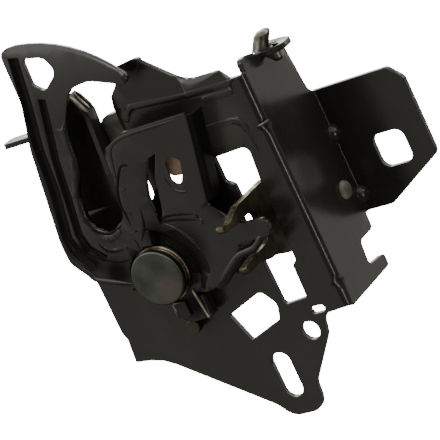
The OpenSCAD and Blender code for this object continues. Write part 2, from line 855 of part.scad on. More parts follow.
module cable_peg() {
    color("#a39f93")
        at_pivot()
            translate([peg_place[0], peg_place[1], 0])
                rotate_extrude()
                    polygon([[0, tab_top - 6.4], [peg_shank_d / 2 - 0.8, tab_top - 6.2], [peg_shank_d / 2, tab_top - 5],
                        [peg_shank_d / 2, tab_top], [peg_d / 2, tab_top], [peg_d / 2, tab_top + 6.4],
                        [peg_d / 2 - 0.7, tab_top + 7.8], [1.2, tab_top + 8.4], [0, tab_top + 8.4]]);
}

base_plate();
side_wall();
bolt_flange();
catch_lever();
catch_rivet();
catch_washer();
catch_bush();
catch_spring();
stop_buffer();
stop_pin();
lift_lever();
lift_rivet();
lift_bush();
lift_spring();
lift_washer();
release_lever();
release_rivet();
release_sleeve();
release_spring();
cable_peg();
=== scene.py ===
import bpy
import math
from mathutils import Vector, Matrix


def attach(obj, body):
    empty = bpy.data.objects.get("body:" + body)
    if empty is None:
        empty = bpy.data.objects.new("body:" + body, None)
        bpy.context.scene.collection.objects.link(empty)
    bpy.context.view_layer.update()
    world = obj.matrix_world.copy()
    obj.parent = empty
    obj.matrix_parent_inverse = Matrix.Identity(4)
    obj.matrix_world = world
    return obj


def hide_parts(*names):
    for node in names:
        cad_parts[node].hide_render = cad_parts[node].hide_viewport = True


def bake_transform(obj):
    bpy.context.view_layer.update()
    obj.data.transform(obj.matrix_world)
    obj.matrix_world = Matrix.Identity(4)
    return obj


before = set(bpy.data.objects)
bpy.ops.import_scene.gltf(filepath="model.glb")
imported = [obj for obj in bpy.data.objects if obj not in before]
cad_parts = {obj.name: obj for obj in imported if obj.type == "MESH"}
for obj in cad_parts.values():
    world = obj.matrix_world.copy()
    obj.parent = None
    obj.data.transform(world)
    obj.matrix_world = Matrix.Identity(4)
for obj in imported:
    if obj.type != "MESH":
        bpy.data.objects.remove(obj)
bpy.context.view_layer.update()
print("frame loaded:", len(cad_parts), "CAD nodes")

mm = 0.001
pivotPlace = Vector((-48, 0, 43.5)) * mm  # catch pivot, from the locating hole
crispAngle = math.radians(34)  # edges that turn further than this stay crisp
grainDepth = 0.2 * mm  # of the fine bumps in coats and metals


def fromPivot(place):
    # a point given in mm from the catch pivot, in the frame's metres
    return pivotPlace + Vector(place) * mm


def toPivot(point):
    # the other way round
    return (point - pivotPlace) / mm


def inZone(p, zone):
    # zone of the front view: x from and to, then z from and to, in mm from the catch pivot
    return zone[0] < p.x < zone[1] and zone[2] < p.z < zone[3]


def inSpan(value, span):
    return span[0] < value < span[1]


def partOf(value):
    # kept between none and all
    return max(0, min(1, value))


def linear(hexColour):
    # sRGB hex to the linear values that shaders take
    parts = [int(hexColour[i:i + 2], 16) / 255 for i in (1, 3, 5)]
    return tuple(c / 12.92 if c <= 0.04045 else ((c + 0.055) / 1.055) ** 2.4 for c in parts) + (1.0,)


def grey(value):
    return (value, value, value, 1)


def perMm(size):
    # texture scale that gives features about this many millimetres across
    return 1000.0 / size


def addNode(tree, kind, settings=None, links=None, stops=()):
    node = tree.nodes.new(kind)
    for key, value in (settings or {}).items():
        if key in node.inputs:
            node.inputs[key].default_value = value
        else:
            setattr(node, key, value)
    for key, source in (links or {}).items():
        tree.links.new(source, node.inputs[key])
    for i, (at, colour) in enumerate(stops):
        stop = node.color_ramp.elements[i] if i < 2 else node.color_ramp.elements.new(at)
        stop.position = at
        stop.color = linear(colour) if isinstance(colour, str) else grey(colour)
    return node


def startMaterial(name):
    mat = bpy.data.materials.new(name)
    mat.use_nodes = True
    tree = mat.node_tree
    tree.nodes.clear()
    shader = addNode(tree, "ShaderNodeBsdfPrincipled")
    addNode(tree, "ShaderNodeOutputMaterial", None, {"Surface": shader.outputs["BSDF"]})
    place = addNode(tree, "ShaderNodeTexCoord")
    return mat, tree, shader, place.outputs["Object"]


# films that lie on the coat in patches: colour, specular level, roughness; the dark one is painted shade and
# the pale one painted light
paintedShadeFilm = ("#0b0b0a", 0.06, 0.22)  # painted shade: dark and hardly mirroring, where shade and dark reflections fall
paintedLightFilm = ("#32312d", 0.5, 0.3)  # painted light: paler, lifts the shade reflected on the plate
dull = ("#1f1e1c", 0.2, 0.3)  # worn, mirrors less
filmFade = {"whole": 0.3, "gone": 1.7, "cover": 0.95}  # where a film thins out, as shares of its size

# black electro-dip coat on pressed steel: near black, shows the studio as warm grey, with a faint orange peel
blackCoatLook = {
    "dark": "#1a1a18", "mid": "#1f1e1c", "dusty": "#262521", "bloomMm": 26, "peelMm": 1.4, "peel": 0.03,
    "shine": (0.17, 0.26), "gleam": 0.5, "edgeMm": 0.5,
    "patches": [  # place in mm from the catch pivot, size in mm, film
        # painted light: a pale patch right of the tongue lightens the shade reflected there
        ((49, 0, 50), 11, paintedLightFilm),
        # painted shade: dark patches where the hook's tip is reflected and beside the slot's left shoulder
        ((23.9, -1, 85), 4.5, paintedShadeFilm),
        ((-3.4, -3.5, 75.5), 6, paintedShadeFilm),
        ((71, 13.7, 18.6), 8, dull),
    ],
}
# the same coat on the deep-drawn lever, whose hook leans back: from and to which height, and how far, in mm
leverCoatLook = {
    "dark": "#191918", "mid": "#1e1d1b", "dusty": "#252420", "bloomMm": 26, "peelMm": 1.4, "peel": 0.03,
    "shine": (0.17, 0.26), "gleam": 0.5, "edgeMm": 0.5, "crown": (118, 158, 5.6),
    "patches": [
        # painted shade: dark patches in the arm's lower-left pocket and grooves, in the dish and by the tail
        ((-18.5, -12, 6.6), 6, paintedShadeFilm),
        ((-27.4, -11, 13), 4, paintedShadeFilm),
        ((-29.4, -11, 19.6), 4, paintedShadeFilm),
        ((18, -9, 9), 9, paintedShadeFilm),
        ((8, -9, 18), 6, paintedShadeFilm),
        ((6, -9, -17), 6, paintedShadeFilm),
    ],
}
# a darker copy of the lever's coat, painted shade for faces that lie in shade: blacker, and it hardly mirrors
paintedShadeCoatLook = {
    "dark": "#0d0d0c", "mid": "#11110f", "dusty": "#161513", "bloomMm": 12, "peelMm": 1.4, "peel": 0.03,
    "shine": (0.25, 0.35), "gleam": 0.12, "edgeMm": 0.3, "patches": [],
}
# oil-tempered spring wire: near black with a satin gleam
springLook = {
    "dark": "#0c0c0b", "mid": "#141413", "dusty": "#22201e", "bloomMm": 6, "peelMm": 0.6, "peel": 0.08,
    "shine": (0.25, 0.4), "gleam": 0.5, "edgeMm": 0.1, "patches": [],
}
# moulded rubber: matt black, a little dusty
rubberLook = {
    "dark": "#0b0b0b", "mid": "#11110f", "dusty": "#1b1a17", "bloomMm": 5, "peelMm": 0.5, "peel": 0.15,
    "shine": (0.5, 0.7), "gleam": 0.5, "edgeMm": 0.3, "patches": [],
}


def makeBlackCoat(name, look):
    mat, tree, shader, place = startMaterial(name)
    bloom = addNode(tree, "ShaderNodeTexNoise",
                    {"Scale": perMm(look["bloomMm"]), "Detail": 5.0, "Roughness": 0.6}, {"Vector": place})
    colour = addNode(tree, "ShaderNodeValToRGB", None, {"Fac": bloom.outputs["Fac"]},
                     [(0.3, look["dark"]), (0.55, look["mid"]), (0.8, look["dusty"])])
    rough = addNode(tree, "ShaderNodeValToRGB", None, {"Fac": bloom.outputs["Fac"]},
                    [(0.3, look["shine"][0]), (0.7, look["shine"][1])])
    channels = {"Base Color": colour.outputs["Color"], "Specular IOR Level": None,
                "Roughness": rough.outputs["Color"]}
    for at, size, film in look["patches"]:
        away = addNode(tree, "ShaderNodeVectorMath", {"operation": "DISTANCE"}, {0: place})
        away.inputs[1].default_value = fromPivot(at)
        cover = addNode(tree, "ShaderNodeMapRange",
                        {"From Min": filmFade["whole"] * size * mm, "From Max": filmFade["gone"] * size * mm,
                         "To Min": filmFade["cover"], "To Max": 0.0, "interpolation_type": "SMOOTHSTEP"},
                        {"Value": away.outputs["Value"]})
        for channel, value in zip(channels, (linear(film[0]), grey(film[1]), grey(film[2]))):
            mixed = addNode(tree, "ShaderNodeMixRGB", {"Color1": grey(look["gleam"]), "Color2": value},
                            {"Fac": cover.outputs["Result"]})
            if channels[channel]:
                tree.links.new(channels[channel], mixed.inputs["Color1"])
            channels[channel] = mixed.outputs["Color"]
    shader.inputs["Specular IOR Level"].default_value = look["gleam"]
    for channel, source in channels.items():
        if source:
            tree.links.new(source, shader.inputs[channel])
    soft = addNode(tree, "ShaderNodeBevel", {"Radius": look["edgeMm"] * mm, "samples": 6})  # rounds the edges
    normal = soft.outputs["Normal"]
    if "crown" in look:
        start, end, lean = look["crown"]
        height = addNode(tree, "ShaderNodeSeparateXYZ", None, {"Vector": place})
        rise = addNode(tree, "ShaderNodeMapRange", {"From Min": start * mm, "From Max": end * mm},
                       {"Value": height.outputs["Z"]})
        curve = addNode(tree, "ShaderNodeMath", {"operation": "MULTIPLY"},
                        {0: rise.outputs["Result"], 1: rise.outputs["Result"]})
        crown = addNode(tree, "ShaderNodeBump", {"Strength": 1.0, "Distance": lean * mm, "invert": True},
                        {"Height": curve.outputs[0], "Normal": normal})
        normal = crown.outputs["Normal"]
    peel = addNode(tree, "ShaderNodeTexNoise", {"Scale": perMm(look["peelMm"]), "Detail": 2.0},
                   {"Vector": place})
    bump = addNode(tree, "ShaderNodeBump", {"Strength": look["peel"], "Distance": grainDepth},
                   {"Height": peel.outputs["Fac"], "Normal": normal})
    tree.links.new(bump.outputs["Normal"], shader.inputs["Normal"])
    return mat


# plated and bare metals have three tones, and a stain round a place in mm from the catch pivot
stainEdge = {"grain": 0.5, "ragged": 1.6, "gone": 1.9}  # shares of the stain's size
metalGrain = 0.12

# yellow-passivated zinc on the release lever's rolled faces: dark olive, satin
oliveZincLook = {
    "low": "#2c281b", "mid": "#403b2a", "high": "#544e3a", "patch": "#6a5f47", "at": (48, -20, 16), "size": 6,
    "stain": 0.6, "cloudMm": 7, "lineMm": 0.5, "metal": 1.0, "shine": (0.36, 0.52),
}
# the same zinc on sheared edges: paler and rough
shearedZincLook = {
    "low": "#38342a", "mid": "#5d5846", "high": "#8f8a74", "patch": "#9a927c", "at": (48, -20, 16), "size": 6,
    "stain": 0.5, "cloudMm": 2.5, "lineMm": 0.25, "metal": 1.0, "shine": (0.4, 0.6),
}
# grey zinc under a dry film, with a brown stain on the lift lever's lobe, painted pale as painted light so
# that it reads bright in the shade behind the view hole
greyZincLook = {
    "low": "#4a483d", "mid": "#636157", "high": "#7a796f", "patch": "#ffd8b4", "at": (20, 3, 38), "size": 11,
    "stain": 0.95, "cloudMm": 7, "lineMm": 0.5, "metal": 0.2, "shine": (0.34, 0.5),
}
# clear-passivated zinc: pale grey with a warm cast
paleZincLook = {
    "low": "#524f47", "mid": "#6e6b63", "high": "#87847b", "patch": "#4a463c", "at": (0, -6, -27), "size": 9,
    "stain": 0.9, "cloudMm": 4, "lineMm": 0.4, "metal": 1.0, "shine": (0.3, 0.45),
}
# phosphated rivet steel: grey green with a dull pink patch low on the head
rivetLook = {
    "low": "#4a4e48", "mid": "#555a54", "high": "#626660", "patch": "#6f5f5b", "at": (3, -15, -6), "size": 9,
    "stain": 0.7, "cloudMm": 9, "lineMm": 0.6, "metal": 1.0, "shine": (0.36, 0.48),
}
# bush lined with bronze: beige brown with a dull metal gleam
bronzeLook = {
    "low": "#4c443b", "mid": "#82786a", "high": "#aaa292", "patch": "#c4bdae", "at": (9, -9, 9), "size": 9,
    "stain": 0.7, "cloudMm": 5, "lineMm": 0.5, "metal": 1.0, "shine": (0.36, 0.5),
}
# washer steel, whitish with oil
washerLook = {
    "low": "#7a7264", "mid": "#a39b8a", "high": "#c0b9aa", "patch": "#cfc9bc", "at": (9, -11, 9), "size": 7,
    "stain": 0.6, "cloudMm": 5, "lineMm": 0.5, "metal": 1.0, "shine": (0.32, 0.48),
}


def makePlatedMetal(name, look):
    mat, tree, shader, place = startMaterial(name)
    size = look["size"]
    cloud = addNode(tree, "ShaderNodeTexNoise",
                    {"Scale": perMm(look["cloudMm"]), "Detail": 4.0, "Roughness": 0.55}, {"Vector": place})
    colour = addNode(tree, "ShaderNodeValToRGB", None, {"Fac": cloud.outputs["Fac"]},
                     [(0.35, look["low"]), (0.5, look["mid"]), (0.65, look["high"])])
    away = addNode(tree, "ShaderNodeVectorMath", {"operation": "DISTANCE"}, {0: place})
    away.inputs[1].default_value = fromPivot(look["at"])
    ragged = addNode(tree, "ShaderNodeTexNoise", {"Scale": perMm(stainEdge["grain"] * size), "Detail": 3.0},
                     {"Vector": place})
    edge = addNode(tree, "ShaderNodeMath", {"operation": "MULTIPLY_ADD"},
                   {0: ragged.outputs["Fac"], 2: away.outputs["Value"]})
    edge.inputs[1].default_value = stainEdge["ragged"] * size * mm
    stain = addNode(tree, "ShaderNodeMapRange",
                    {"From Min": size * mm, "From Max": stainEdge["gone"] * size * mm,
                     "To Min": look["stain"], "To Max": 0.0, "interpolation_type": "SMOOTHSTEP"},
                    {"Value": edge.outputs[0]})
    stained = addNode(tree, "ShaderNodeMixRGB", {"Color2": linear(look["patch"])},
                      {"Fac": stain.outputs["Result"], "Color1": colour.outputs["Color"]})
    tree.links.new(stained.outputs["Color"], shader.inputs["Base Color"])
    rough = addNode(tree, "ShaderNodeValToRGB", None, {"Fac": cloud.outputs["Fac"]},
                    [(0.3, look["shine"][1]), (0.7, look["shine"][0])])
    tree.links.new(rough.outputs["Color"], shader.inputs["Roughness"])
    lines = addNode(tree, "ShaderNodeTexNoise", {"Scale": perMm(look["lineMm"]), "Detail": 2.0},
                    {"Vector": place})
    bump = addNode(tree, "ShaderNodeBump", {"Strength": metalGrain, "Distance": grainDepth},
                   {"Height": lines.outputs["Fac"]})
    tree.links.new(bump.outputs["Normal"], shader.inputs["Normal"])
    shader.inputs["Metallic"].default_value = look["metal"]
    return mat


blackCoat = makeBlackCoat("black electro-dip coat", blackCoatLook)
leverCoat = makeBlackCoat("rolled lever coat", leverCoatLook)
paintedShadeCoat = makeBlackCoat("painted shade lever coat", paintedShadeCoatLook)
springBlack = makeBlackCoat("oil-tempered spring wire", springLook)
blackRubber = makeBlackCoat("moulded black rubber", rubberLook)
oliveZinc = makePlatedMetal("yellow passivated zinc", oliveZincLook)
shearedZinc = makePlatedMetal("sheared zinc edge", shearedZincLook)
greyZinc = makePlatedMetal("stained grey zinc with painted light", greyZincLook)
paleZinc = makePlatedMetal("clear passivated zinc", paleZincLook)
rivetSteel = makePlatedMetal("phosphated rivet steel", rivetLook)
bushBronze = makePlatedMetal("bronze bush", bronzeLook)
washerSteel = makePlatedMetal("oiled washer steel", washerLook)
print("materials made")


# the catch spring's long leg lies on the lever; its skin is baked in place and joins no body
legLook = {"node": "catch_spring", "moves": "catch", "from": (6, -4, -8.4), "to": (17, -4, -5.5)}
edgeLook = {"weldMm": 0.005, "flatTurn": math.radians(1.0), "roundTurn": math.radians(32), "steps": 3}


def dressNodes(nodes, body, material, edge, shape=None):
    # copies of CAD meshes joined and welded, with small pieces' edges rounded as tumbling leaves them
    bpy.ops.object.select_all(action="DESELECT")
    for node in nodes:
        copy = bpy.data.objects.new(node + "Skin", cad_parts[node].data.copy())
        bpy.context.scene.collection.objects.link(copy)
        copy.select_set(True)
        bpy.context.view_layer.objects.active = copy
    if len(nodes) > 1:
        bpy.ops.object.join()
    piece = bpy.context.view_layer.objects.active
    piece.name = nodes[0] + "Skin"
    if shape:
        shape(piece.data)
    piece.data.materials.clear()
    piece.data.materials.append(material)
    bpy.ops.object.mode_set(mode="EDIT")
    bpy.ops.mesh.select_all(action="SELECT")
    bpy.ops.mesh.remove_doubles(threshold=edgeLook["weldMm"] * mm)
    if edge > 0:
        bpy.ops.mesh.dissolve_limited(angle_limit=edgeLook["flatTurn"])
    bpy.ops.object.mode_set(mode="OBJECT")
    if edge > 0:
        bevel = piece.modifiers.new("edges", "BEVEL")
        bevel.width = edge * mm
        bevel.segments = edgeLook["steps"]
        bevel.limit_method = "ANGLE"
        bevel.angle_limit = edgeLook["roundTurn"]
        bevel.use_clamp_overlap = True
        bevel.miter_outer = "MITER_ARC"
        bpy.ops.object.modifier_apply(modifier="edges")
    bpy.ops.object.shade_smooth_by_angle(angle=crispAngle)
    flat = piece.modifiers.new("flat faces", "WEIGHTED_NORMAL")  # large faces stay flat beside rounded edges
    flat.keep_sharp = True
    flat.weight = 100
    bpy.ops.object.modifier_apply(modifier="flat faces")
    if nodes[0] == legLook["node"]:
        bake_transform(piece)
    else:
        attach(piece, body)
    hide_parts(*nodes)
    print("dressed", piece.name, len(piece.data.polygons), "faces")
    return piece


# carrier: one stamping, so the cut faces between its nodes go; low beads, a tall guide lip and long darts
carrierLook = {
    "seams": (67.5, 71.0), "seamSlack": 0.02,  # x of the cut faces
    "beadFrom": 8, "beadDepth": (-0.9, -0.02), "bead": 0.3,  # how much of a bead's height is left
    "lipFrom": 65, "lipDepth": -0.3, "lipMove": (2.6, 0, 7.0),
    "shoulder": (-14, -4, 70, 78), "shoulderDepth": -0.1, "shoulderRise": 6,
    "horn": (12, 45, 77, 120), "hornAt": (23.4, 79.6), "hornWay": (0.573, 0.82), "hornLong": 11,
    "hornFrom": 0.02, "hornBend": -0.9,
    "darts": (44.6, -26.4), "dartFrom": 62, "dartDepth": 8, "dartReach": (0.01, 5), "dartLong": 1.6,
}


def shapeCarrier(mesh):
    look = carrierLook
    hornX, hornZ = look["hornAt"]
    for v in mesh.vertices:
        p = toPivot(v.co)
        if inSpan(p.y, look["beadDepth"]) and p.x > look["beadFrom"]:
            p.y *= look["bead"]
        if p.z > look["lipFrom"] and p.x < 0 and p.y < look["lipDepth"]:
            p += Vector(look["lipMove"])
        if inZone(p, look["shoulder"]) and p.y > look["shoulderDepth"]:
            p.z += look["shoulderRise"]  # the slot's left shoulder stands up behind the lip
        past = ((p.x - hornX) * look["hornWay"][0] + (p.z - hornZ) * look["hornWay"][1]) / look["hornLong"]
        if past > look["hornFrom"] and inZone(p, look["horn"]):
            p.y += look["hornBend"] * past  # the horn bends forward, more towards its tip
        for z in look["darts"]:
            if p.x > look["dartFrom"] and p.y < look["dartDepth"] and inSpan(abs(p.z - z), look["dartReach"]):
                p.z = z + (p.z - z) * look["dartLong"]
        v.co = fromPivot(p)
    bpy.ops.object.mode_set(mode="EDIT")
    bpy.ops.mesh.select_all(action="DESELECT")
    bpy.ops.object.mode_set(mode="OBJECT")
    for face in mesh.polygons:
        xs = [(mesh.vertices[i].co.x - pivotPlace.x) / mm for i in face.vertices]
        face.select = any(max(abs(x - seam) for x in xs) < look["seamSlack"] for seam in look["seams"])
    bpy.ops.object.mode_set(mode="EDIT")
    bpy.ops.mesh.select_mode(type="FACE")
    bpy.ops.mesh.delete(type="FACE")
    bpy.ops.object.mode_set(mode="OBJECT")


# catch lever: raised lines nearly level, since fine lines of painted shade are drawn below, and the dish
# opens wider
catchLook = {
    "front": -12.0, "floor": -8.2,  # y of the sheet's front and of the dish's floor
    "bead": 0.06, "beadProud": 0.02, "beadFrom": -7, "beadBelow": 19,
    "groove": 2.0, "grooveDepth": (0.02, 1.3), "grooveTo": -12, "grooveBelow": 22,  # deeper at the arm's foot
    "dish": (20.9, 21.9), "dishDepth": 0.3, "wider": 0.18,  # radii that the rim lies between, and its growth
    "widerTo": (58, 14), "widerFrom": (-22, 16),  # degrees where the growth ends, and over how many it fades
    "hole": (26, 35, 35, 48), "holeDepth": 0.5, "holeBack": (-1.9, 0, -0.8),
    "holeLeft": 26.9, "holeTo": 26.5, "holeTaper": 0.35, "taperFrom": 45, "taperLong": 8,
    "slit": (8, 13.2, 20.4, 41), "slitAt": 12.4, "slitSlim": 0.75,
    "slitSide": (13.2, 16.6, 20, 30), "sideMove": 0.6,
}


def shapeCatch(mesh):
    look = catchLook
    front = look["front"]
    for v in mesh.vertices:
        p = toPivot(v.co)
        if p.y < front - look["beadProud"] and (p.x > look["beadFrom"] or p.z < look["beadBelow"]):
            p.y = front + (p.y - front) * look["bead"]
        if inSpan(p.y - front, look["grooveDepth"]) and p.x < look["grooveTo"] and p.z < look["grooveBelow"]:
            p.y = front + (p.y - front) * look["groove"]
        angle = math.degrees(math.atan2(p.z, p.x))
        if inSpan(math.hypot(p.x, p.z), look["dish"]) and p.y < front + look["dishDepth"]:
            grow = partOf((look["widerTo"][0] - angle) / look["widerTo"][1])
            grow *= partOf((angle - look["widerFrom"][0]) / look["widerFrom"][1])
            p.x *= 1 + look["wider"] * grow
            p.z *= 1 + look["wider"] * grow
        if inZone(p, look["hole"]) and p.y > front + look["holeDepth"]:
            p += Vector(look["holeBack"])  # the view hole opens towards the back
        elif inZone(p, look["hole"]):
            taper = look["holeTaper"] * partOf((look["taperFrom"] - p.z) / look["taperLong"])
            p.x = look["holeTo"] + (p.x - look["holeLeft"]) * (1 - taper)  # and narrows downwards
        if inZone(p, look["slit"]):
            p.x += (look["slitAt"] - p.x) * look["slitSlim"]
        elif inZone(p, look["slitSide"]):
            p.x += look["sideMove"]
        v.co = fromPivot(p)


# peg: its stub stands over the wall and leans right, and its tail comes out further back
pegLook = {
    "axis": (73.7, 20.4), "shoulder": 70, "slack": 0.05, "shank": 2.4, "thick": 1.2, "short": 0.85,
    "stub": (-4.3, 2.0), "lean": (0.43, 0.23), "tail": (2.5, 1.1),
}


def shapePeg(mesh):
    look = pegLook
    for v in mesh.vertices:
        p = toPivot(v.co)
        above = p.z - look["shoulder"]
        off = Vector((p.x - look["axis"][0], p.y - look["axis"][1], 0))
        wide = off.length > look["shank"]
        p += off * (look["thick"] - 1)
        if above > look["slack"] or (above > -look["slack"] and wide):
            p.x += look["stub"][0] + look["lean"][0] * above
            p.y += look["stub"][1] + look["lean"][1] * above
            p.z = look["shoulder"] + look["short"] * above
        else:
            p.x += look["tail"][0]
            p.y += look["tail"][1]
        v.co = fromPivot(p)


dressNodes(["base_plate", "side_wall", "bolt_flange"], "frame", blackCoat, 0, shapeCarrier)
catchLever = dressNodes(["catch_lever"], "catch", leverCoat, 0, shapeCatch)
skins = {  # body, material, slot and edge radius in mm of each remaining node
    "stop_buffer": ("catch", blackRubber, "black_coat", 0),
    "catch_rivet": ("frame", rivetSteel, "rivet_steel", 0.4),
    "catch_washer": ("frame", washerSteel, "washer_steel", 0.25),
    "catch_bush": ("catch", bushBronze, "bush_metal", 0.25),
    "stop_pin": ("frame", paleZinc, "zinc_bright", 0.5),
    "lift_lever": ("lift", greyZinc, "zinc_olive", 0.4),
    "lift_bush": ("lift", bushBronze, "bush_metal", 0.2),
    "lift_rivet": ("frame", paleZinc, "zinc_bright", 0.5),
    "lift_washer": ("frame", washerSteel, "washer_steel", 0.3),
    "release_lever": ("release", oliveZinc, "zinc_olive", 0.35),
    "release_rivet": ("frame", greyZinc, "rivet_steel", 0.5),
    "release_sleeve": ("frame", paleZinc, "zinc_bright", 0.3),
    "cable_peg": ("frame", paleZinc, "zinc_bright", 0.3),
    "catch_spring": ("frame", springBlack, "spring_steel", 0),
    "lift_spring": ("frame", springBlack, "spring_steel", 0),
    "release_spring": ("frame", springBlack, "spring_steel", 0),
}
shapes = {"cable_peg": shapePeg}
dressed = {}
for node, (body, material, slot, edge) in skins.items():
    dressed[node] = dressNodes([node], body, material, edge, shapes.get(node))

# painted shade: the darker coat goes on the tongue's turned side, the grooves and the right of the dish,
# which lie in shade and mirror dark parts; depths are from the front
paintedShadeZones = {
    "tongue": (38, 48, 24, 63), "tongueTurn": 0.12,
    "grooves": (-60, -12, 4, 106), "grooveDepth": (0.15, 2.6), "grooveTurn": -0.2,
    "dish": (-4, 30, -4, 30), "dishReach": (12, 26), "dishDepth": (0.4, 5), "dishTurn": -0.1,
}
front = catchLook["front"]
catchLever.data.materials.append(paintedShadeCoat)
for face in catchLever.data.polygons:
    place = toPivot(face.center)
    depth = place.y - front
    onTongue = face.normal.x > paintedShadeZones["tongueTurn"] and inZone(place, paintedShadeZones["tongue"])
    inGroove = inSpan(depth, paintedShadeZones["grooveDepth"]) and inZone(place, paintedShadeZones["grooves"])
    inGroove = inGroove and face.normal.y < paintedShadeZones["grooveTurn"]
    inDish = inSpan(depth, paintedShadeZones["dishDepth"]) and inZone(place, paintedShadeZones["dish"])
    inDish = inDish and inSpan(math.hypot(place.x, place.z), paintedShadeZones["dishReach"])
    inDish = inDish and face.normal.y < paintedShadeZones["dishTurn"]
    if onTongue or inGroove or inDish:
        face.material_index = 1

# the release lever's cut edges are paler than its rolled faces
rolledTurn = 0.8
cut = dressed["release_lever"].data
cut.materials.append(shearedZinc)
for face in cut.polygons:
    if abs(face.normal.x) < rolledTurn:
        face.material_index = 1


beadLook = {"rings": 4, "steps": 8, "tip": 0.15}


def addBead(name, line, width, proud, out=(0, -1, 0), body="catch", material=blackCoat, slot="black_coat"):
    # half-round bead pressed along a line of points, in mm from the catch pivot, that runs out at both ends
    curve = bpy.data.curves.new(name, "CURVE")
    curve.dimensions = "3D"
    curve.bevel_depth = 0.5 * width * mm
    curve.bevel_resolution = beadLook["rings"]
    curve.resolution_u = beadLook["steps"]
    spline = curve.splines.new("NURBS")
    spline.points.add(len(line) - 1)
    for i, (point, place) in enumerate(zip(spline.points, line)):
        point.co = (*fromPivot(place), 1)
        point.radius = beadLook["tip"] if i in (0, len(line) - 1) else 1.0
    spline.order_u = 3
    spline.use_endpoint_u = True
    bead = bpy.data.objects.new(name, curve)
    bpy.context.scene.collection.objects.link(bead)
    bpy.ops.object.select_all(action="DESELECT")
    bead.select_set(True)
    bpy.context.view_layer.objects.active = bead
    bpy.ops.object.convert(target="MESH")
    bead = bpy.context.view_layer.objects.active
    face = Vector(out).normalized()
    level = fromPivot(line[0]).dot(face)
    for v in bead.data.vertices:
        v.co += face * (v.co.dot(face) - level) * (2 * proud / width - 1)  # flattened towards the sheet
    bead.data.materials.clear()
    bead.data.materials.append(material)
    bpy.ops.object.shade_smooth()
    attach(bead, body)


def arcOf(centre, radii, degrees):
    # points on the lever's front, round a centre given as x and z
    turns = [math.radians(a) for a in degrees]
    return [(centre[0] + radii[0] * math.cos(t), front, centre[1] + radii[1] * math.sin(t)) for t in turns]


def lineAt(depth, points):
    # points given as x and z, all at one depth
    return [(x, depth, z) for x, z in points]


paintedHighlightZinc = {"material": paleZinc, "slot": "zinc_bright"}  # pale zinc beads as painted highlights on edges and ridges
# pale steel for a painted highlight along the tail's fold
paintedHighlightSteel = {"material": washerSteel, "slot": "washer_steel"}
tailDepth, armDepth, clipDepth = -8.7, -11.6, -9.4
footLine = [(-38.0, 24), (-38.0, 18), (-35.4, 13.4), (-32.4, 10), (-30.4, 6), (-26, 4.4), (-20, 2), (-14, 0)]
tailLine = [(9.5, -10.2), (9.5, -10.5), (9.7, -12), (10.4, -17), (11, -22), (11.2, -24), (11.2, -24.3)]
armLine = [(25.3, -9.8), (28, -8), (33, -4.6), (39, -0.6), (43, 0), (47.5, 0.4), (51.2, 2.6), (53.2, 4.6),
           (53.8, 5.4)]
stepLine = [(44, 51.6), (46, 51.6), (52, 51.6), (58.4, 51.6), (60.4, 49.2), (61.8, 45.5), (62.1, 40),
            (62.1, 36)]
clipTopLine = [(-2.3, -14.2), (-1.6, -14.1), (1, -14.1), (3.2, -14.2)]
clipSideLine = [(-2.3, -14.2), (-2.3, -15), (-2.3, -19), (-2.3, -20.8)]
tongueLine = [(1.2, 44), (2.2, 49), (4.2, 57), (8, 60.2), (15, 61.4), (30, 61.4), (43, 61.4)]
beads = {
    "dishBead": {"line": arcOf((0, 0), (25.2, 25.2), range(60, 4, -8)), "width": 1.3, "proud": 0.45},
    "holeBead": {"line": arcOf((30.0, 40.2), (7.0, 8.6), range(170, 290, 15)), "width": 1.4, "proud": 0.4},
    "footBead": {"line": lineAt(front, footLine), "width": 2.6, "proud": 1.0},
    # painted highlight: a pale steel bead along the tail's fold
    "tailBead": {"line": lineAt(tailDepth, tailLine), "width": 1.0, "proud": 0.8, **paintedHighlightSteel},
    "armBand": {"line": lineAt(armDepth, armLine), "width": 3.2, "proud": 0.9, "material": leverCoat},
    "stepBead": {"line": lineAt(0, stepLine), "width": 1.8, "proud": 0.5, "body": "frame"},
    # painted highlights: pale zinc beads along the clip's top and side edges
    "clipTop": {"line": lineAt(clipDepth, clipTopLine), "width": 1.1, "proud": 0.5, **paintedHighlightZinc},
    "clipSide": {"line": lineAt(clipDepth, clipSideLine), "width": 1.1, "proud": 0.5, **paintedHighlightZinc},
    "tongueBead": {"line": lineAt(front, tongueLine), "width": 1.6, "proud": 0.2},
}
# fine low beads on the lever's face in the darker coat, lines of painted shade for fine grooves, each as x
# and z of its points
pressedLook = {"width": 1.3, "proud": 0.2, "material": paintedShadeCoat}
pressedLines = [
    [(12.6, 23.6), (14.8, 23.9), (18.9, 23.8), (24.9, 22.6), (29.3, 21.5)],
    [(11.0, 21.6), (13.8, 22.1), (18.3, 21.8), (25.0, 20.0), (30.2, 18.5)],
    [(9.6, 48.8), (8.2, 49.9), (5.6, 49.4), (1.9, 44.5), (-1.6, 38.5), (-2.5, 33.1), (-1.9, 28.3),
     (-2.1, 24.1)],
    [(-21.1, 21.1), (-20.3, 18.5), (-17.9, 16.2), (-14.3, 15.1), (-9.9, 15.4)],
    [(-27.6, 22.8), (-25.9, 18.1), (-22.4, 13.8), (-17.9, 11.3), (-13.2, 10.3), (-9.4, 10.5)],
    [(-23.5, 32.1), (-21.4, 28.2), (-17.9, 25.0), (-14.1, 23.3), (-9.6, 23.8), (-5.8, 26.0)],
    [(5.9, 30.4), (4.7, 24.2), (2.5, 20.1), (-1.3, 16.0)],
]
for i, points in enumerate(pressedLines):
    beads["pressedLine%d" % i] = {"line": lineAt(front, points), **pressedLook}
